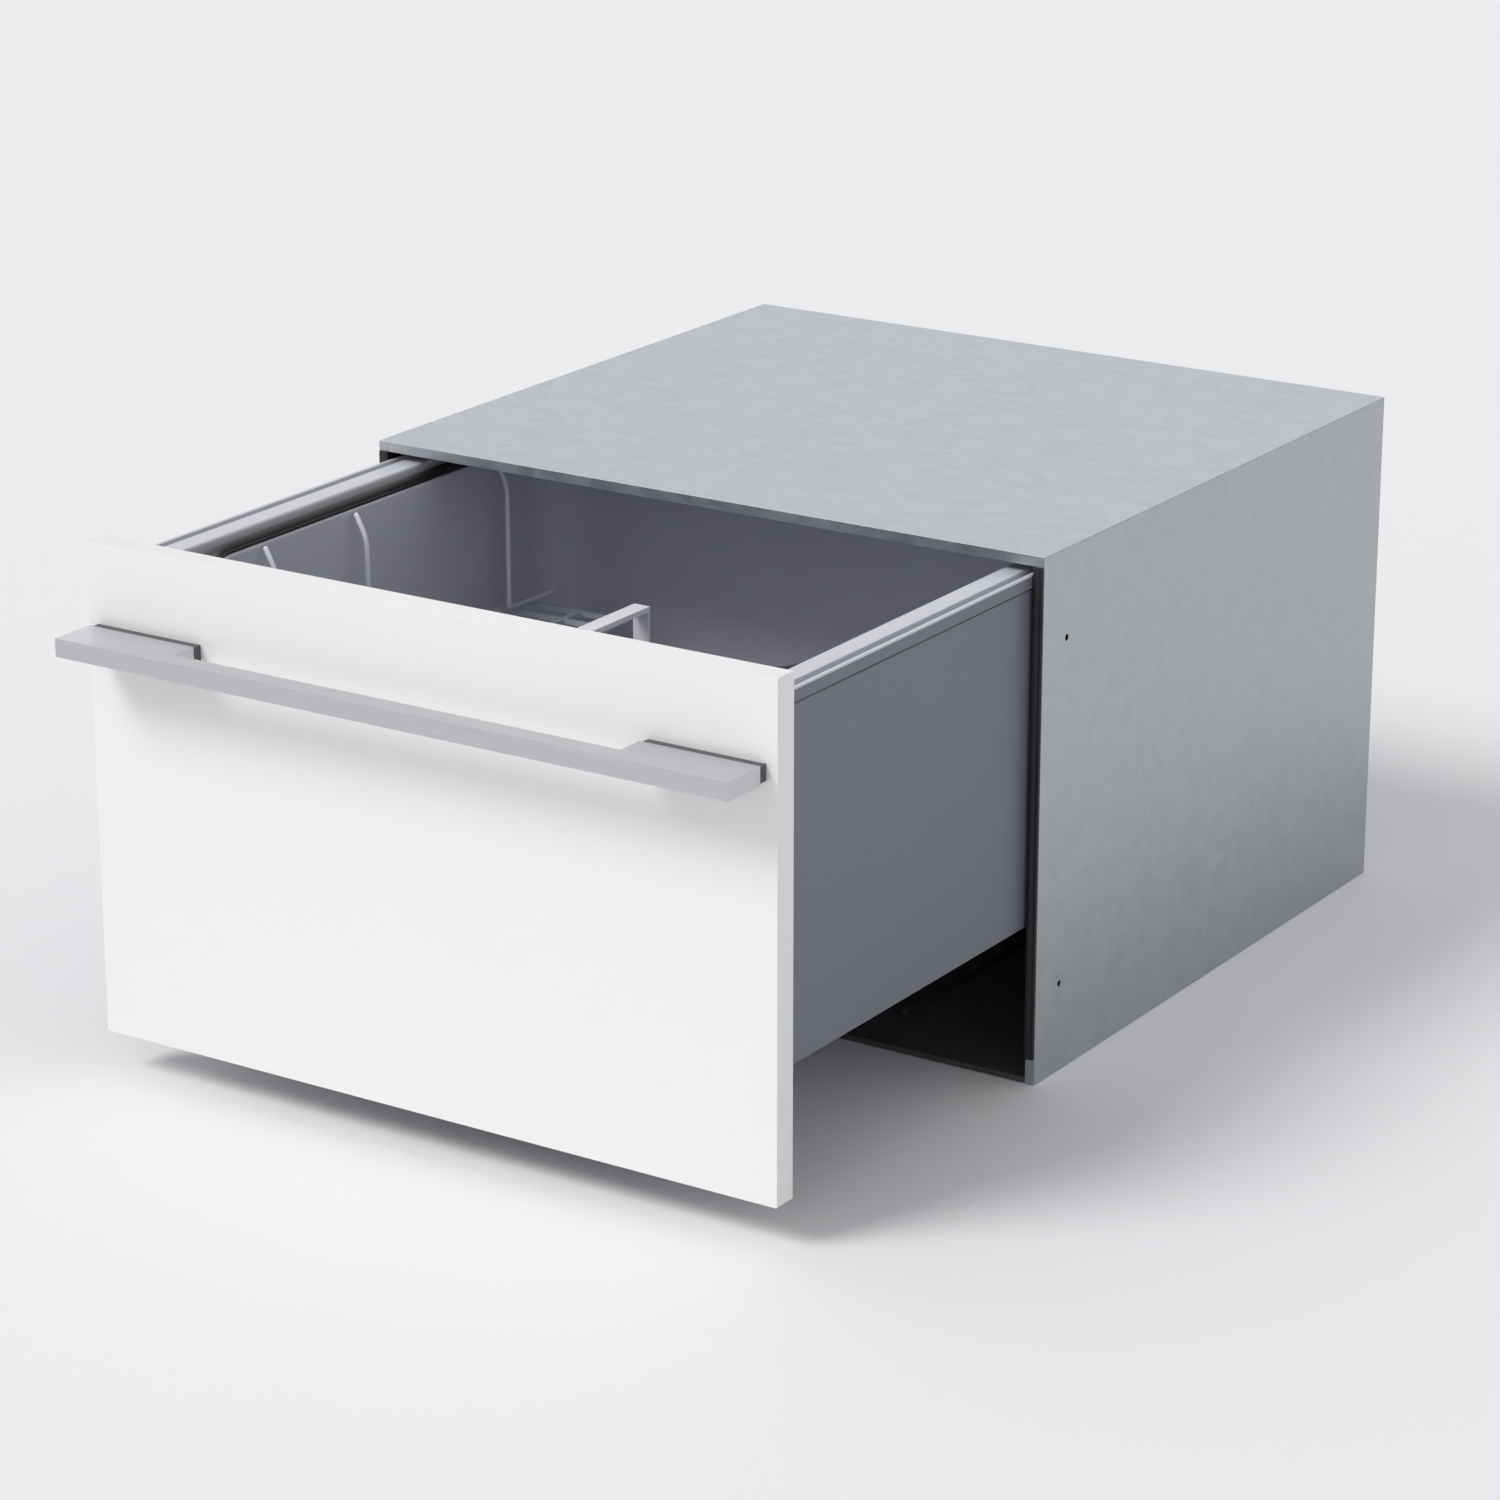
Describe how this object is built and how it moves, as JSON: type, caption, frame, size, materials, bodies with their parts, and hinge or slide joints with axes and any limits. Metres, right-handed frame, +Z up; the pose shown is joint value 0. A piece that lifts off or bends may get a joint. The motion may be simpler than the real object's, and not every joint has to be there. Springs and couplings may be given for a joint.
{
  "type": "dishwasher drawer",
  "caption": "Built-in dishwasher drawer behind a white panel with a bar handle, half open on telescopic slides, with tub, lid, wire basket and wash system.",
  "frame": {"origin": "middle of the chassis' front edge, on its underside", "axes": "+X to the right as seen from the front, +Y into the cabinet, +Z up"},
  "size_m": [0.599, 0.965, 0.412],
  "materials": {
    "galvanised": "spangled zinc, semi-matte",
    "black_tray": "fine moulded grain",
    "black_liner": "fine moulded grain",
    "seal_rubber": "matte",
    "slide_dark": "dark zinc",
    "slide_middle": "dark zinc",
    "bright_steel": "rolled",
    "lid_plastic": "moulded",
    "actuator_plastic": "moulded",
    "valve_plastic": "moulded",
    "hose_plastic": "moulded",
    "white_lacquer": "white satin lacquer on board",
    "handle_metal": "brushed along its length",
    "handle_pad": "satin",
    "screw_steel": "zinc",
    "frame_plastic": "moulded",
    "strip_plastic": "satin",
    "board_plastic": "moulded",
    "tub_plastic": "moulded, smooth",
    "cap_plastic": "satin",
    "gasket_rubber": "matte",
    "side_paint": "satin",
    "rear_paint": "satin",
    "rail_steel": "satin",
    "motor_metal": "cast",
    "heater_steel": "drawn tube",
    "filter_steel": "perforated sheet",
    "arm_plastic": "moulded",
    "filter_plastic": "moulded",
    "impeller_plastic": "moulded",
    "wire_coat": "nylon coating",
    "clip_plastic": "moulded",
    "cutlery_plastic": "moulded",
    "dispenser_plastic": "moulded",
    "flap_plastic": "satin",
    "button_plastic": "satin"
  },
  "bodies": {
    "chassis": {"side_sheet_left": "galvanised", "side_sheet_right": "galvanised", "top_sheet": "galvanised", "back_sheet": "galvanised", "base_tray": "black_tray", "side_liner_left": "black_liner", "side_liner_right": "black_liner", "edge_seals": "seal_rubber", "outer_slides": "slide_dark", "lid_actuators": "actuator_plastic", "water_inlet": "valve_plastic", "drain_outlet": "hose_plastic", "power_gland": "hose_plastic"},
    "middle_left": {"slide_middle_left": "slide_middle", "ball_cages_left": "bright_steel"},
    "middle_right": {"slide_middle_right": "slide_middle", "ball_cages_right": "bright_steel"},
    "lid": {"lid_plate": "lid_plastic", "lid_straps": "bright_steel"},
    "drawer": {"door_panel": "white_lacquer", "panel_brackets": "bright_steel", "handle": "handle_metal", "handle_pads": "handle_pad", "panel_screws": "screw_steel", "front_frame": "frame_plastic", "control_strip": "strip_plastic", "control_boards": "board_plastic", "tub": "tub_plastic", "rim_cap_left": "cap_plastic", "rim_cap_right": "cap_plastic", "lid_gasket": "gasket_rubber", "side_panel_left": "side_paint", "side_panel_right": "side_paint", "rear_panel": "rear_paint", "tub_rails": "rail_steel", "inner_slides": "slide_dark", "wash_motor": "motor_metal", "heating_element": "heater_steel", "filter_plate": "filter_steel", "rack_floor": "wire_coat", "rack_sides": "wire_coat", "cutlery_basket": "cutlery_plastic", "dispenser_body": "dispenser_plastic"},
    "spray_arm": {"spray_arm": "arm_plastic"},
    "drain_filter": {"drain_filter": "filter_plastic"},
    "pump_impeller": {"pump_impeller": "impeller_plastic"},
    "dispenser_flap": {"dispenser_flap": "flap_plastic"},
    "rinse_cap": {"rinse_cap": "flap_plastic"},
    "cup_rack_front_left": {"cup_rack_front_left": "clip_plastic"},
    "cup_rack_rear_left": {"cup_rack_rear_left": "clip_plastic"},
    "cup_rack_front_right": {"cup_rack_front_right": "clip_plastic"},
    "cup_rack_rear_right": {"cup_rack_rear_right": "clip_plastic"},
    "tine_row_left": {"tine_row_left": "wire_coat"},
    "tine_row_middle": {"tine_row_middle": "wire_coat"},
    "tine_row_right": {"tine_row_right": "wire_coat"},
    "tine_row_outer": {"tine_row_outer": "wire_coat"},
    "button_power": {"button_power": "button_plastic"},
    "button_program": {"button_program": "button_plastic"},
    "button_start": {"button_start": "button_plastic"},
    "button_lock": {"button_lock": "button_plastic"}
  },
  "joints": [
    {"name": "drawer_slide", "type": "slide", "parent": "chassis", "child": "drawer", "axis": [0, -1, 0], "range_m": [-0.328, 0.182]},
    {"name": "slide_middle_left_run", "type": "slide", "parent": "chassis", "child": "middle_left", "axis": [0, -1, 0], "range_m": [-0.164, 0.092]},
    {"name": "slide_middle_right_run", "type": "slide", "parent": "chassis", "child": "middle_right", "axis": [0, -1, 0], "range_m": [-0.164, 0.092]},
    {"name": "lid_lift", "type": "slide", "parent": "chassis", "child": "lid", "axis": [0, 0, -1], "range_m": [0, 0.007], "stiffness_N_per_m": 1250, "springref_m": -0.02},
    {"name": "spray_arm_spin", "type": "hinge", "parent": "drawer", "child": "spray_arm", "pos_m": [0, -0.0555, 0.11], "axis": [0, 0, 1], "continuous": true},
    {"name": "pump_spin", "type": "hinge", "parent": "drawer", "child": "pump_impeller", "pos_m": [0, -0.0555, 0.07], "axis": [0, 0, 1], "continuous": true},
    {"name": "drain_filter_turn", "type": "hinge", "parent": "drawer", "child": "drain_filter", "pos_m": [0.066, -0.0555, 0.09], "axis": [0, 0, 1], "range_deg": [0, 90]},
    {"name": "dispenser_flap_hinge", "type": "hinge", "parent": "drawer", "child": "dispenser_flap", "pos_m": [-0.133, -0.2732, 0.29], "axis": [0, 0, 1], "range_deg": [0, 90]},
    {"name": "rinse_cap_turn", "type": "hinge", "parent": "drawer", "child": "rinse_cap", "pos_m": [-0.035, -0.2765, 0.29], "axis": [0, 1, 0], "range_deg": [0, 90]},
    {"name": "cup_rack_front_left_fold", "type": "hinge", "parent": "drawer", "child": "cup_rack_front_left", "pos_m": [-0.2345, -0.171, 0.262], "axis": [0, -1, 0], "range_deg": [0, 80]},
    {"name": "cup_rack_front_right_fold", "type": "hinge", "parent": "drawer", "child": "cup_rack_front_right", "pos_m": [0.2345, -0.171, 0.262], "axis": [0, 1, 0], "range_deg": [0, 80]},
    {"name": "cup_rack_rear_left_fold", "type": "hinge", "parent": "drawer", "child": "cup_rack_rear_left", "pos_m": [-0.2345, 0.021, 0.262], "axis": [0, -1, 0], "range_deg": [0, 80]},
    {"name": "cup_rack_rear_right_fold", "type": "hinge", "parent": "drawer", "child": "cup_rack_rear_right", "pos_m": [0.2345, 0.021, 0.262], "axis": [0, 1, 0], "range_deg": [0, 80]},
    {"name": "tine_row_left_fold", "type": "hinge", "parent": "drawer", "child": "tine_row_left", "pos_m": [-0.08, -0.2395, 0.13673], "axis": [0, -1, 0], "range_deg": [0, 96]},
    {"name": "tine_row_middle_fold", "type": "hinge", "parent": "drawer", "child": "tine_row_middle", "pos_m": [0.04, -0.0555, 0.13673], "axis": [0, -1, 0], "range_deg": [0, 96]},
    {"name": "tine_row_right_fold", "type": "hinge", "parent": "drawer", "child": "tine_row_right", "pos_m": [0.12, -0.2395, 0.13673], "axis": [0, -1, 0], "range_deg": [0, 96]},
    {"name": "tine_row_outer_fold", "type": "hinge", "parent": "drawer", "child": "tine_row_outer", "pos_m": [0.2, -0.2255, 0.13673], "axis": [0, -1, 0], "range_deg": [0, 96]},
    {"name": "button_power_press", "type": "slide", "parent": "drawer", "child": "button_power", "axis": [0, 0, -1], "range_m": [0, 0.0012], "stiffness_N_per_m": 1000, "springref_m": -0.001},
    {"name": "button_program_press", "type": "slide", "parent": "drawer", "child": "button_program", "axis": [0, 0, -1], "range_m": [0, 0.0012], "stiffness_N_per_m": 1000, "springref_m": -0.001},
    {"name": "button_start_press", "type": "slide", "parent": "drawer", "child": "button_start", "axis": [0, 0, -1], "range_m": [0, 0.0012], "stiffness_N_per_m": 1000, "springref_m": -0.001},
    {"name": "button_lock_press", "type": "slide", "parent": "drawer", "child": "button_lock", "axis": [0, 0, -1], "range_m": [0, 0.0012], "stiffness_N_per_m": 1000, "springref_m": -0.001}
  ],
  "couplings": [
    {"joint": "slide_middle_left_run", "follows": "drawer_slide", "ratio": 0.5},
    {"joint": "slide_middle_right_run", "follows": "drawer_slide", "ratio": 0.5}
  ]
}
